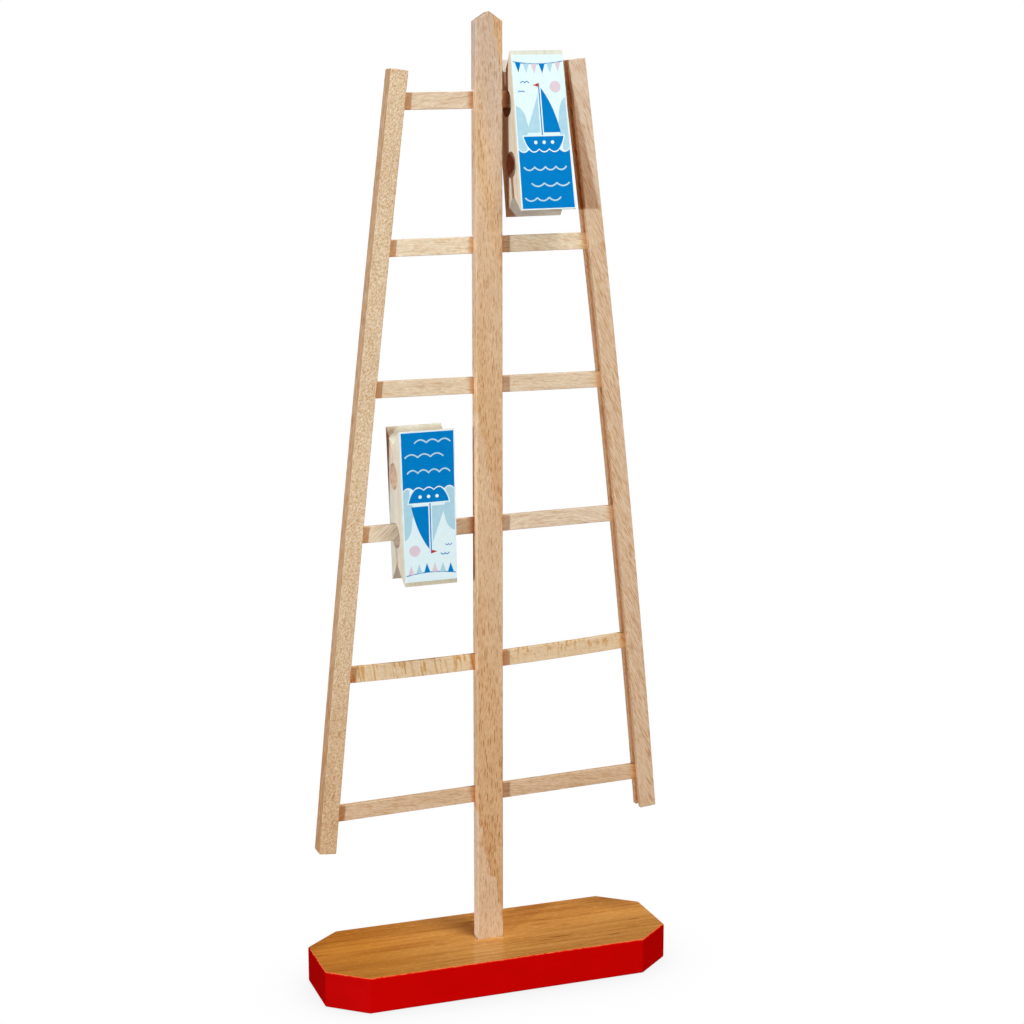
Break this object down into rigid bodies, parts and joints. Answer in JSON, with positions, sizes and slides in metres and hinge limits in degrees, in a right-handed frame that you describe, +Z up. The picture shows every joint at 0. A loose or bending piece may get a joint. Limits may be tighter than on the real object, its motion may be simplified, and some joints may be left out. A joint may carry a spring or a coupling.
{
  "type": "climbing sailor toy",
  "caption": "Wooden climbing sailor toy: flat rungs let into a mast carry bowed stiles above a clipped-corner base, with slotted sailor blocks that tumble from rung to rung.",
  "frame": {"origin": "middle of the board's underside, below the mast", "axes": "+X along the rungs to the right, +Y to the back, +Z up the mast"},
  "size_m": [0.1806, 0.0638, 0.4739],
  "materials": {
    "painted_base": "red painted edge with a varnished orange-brown top",
    "beech_bar": "planed beech with short dark flecks, sanded, unpainted",
    "beech_strip": "sawn and sanded beech strip",
    "pale_wood": "pale sanded wood, unpainted",
    "printed_paper": "satin printed paper, glued on"
  },
  "bodies": {
    "frame": {"base": "painted_base", "mast": "beech_bar", "left_stile": "beech_bar", "right_stile": "beech_bar", "rung_1": "beech_strip", "rung_2": "beech_strip", "rung_3": "beech_strip", "rung_4": "beech_strip", "rung_5": "beech_strip", "rung_6": "beech_strip"},
    "upper_sailor": {"upper_sailor_block": "pale_wood", "upper_sailor_front_label": "printed_paper", "upper_sailor_back_label": "printed_paper"},
    "lower_sailor": {"lower_sailor_block": "pale_wood", "lower_sailor_front_label": "printed_paper", "lower_sailor_back_label": "printed_paper"}
  },
  "joints": [
    {"name": "upper_sailor_tumble", "type": "hinge", "parent": "frame", "child": "upper_sailor", "pos_m": [0.0241, 0.0022, 0.4322], "axis": [0.9997, 0, 0.025], "continuous": true},
    {"name": "lower_sailor_tumble", "type": "hinge", "parent": "frame", "child": "lower_sailor", "pos_m": [-0.03275, 0.0022, 0.22752], "axis": [0.9998, 0, 0.0208], "continuous": true}
  ]
}
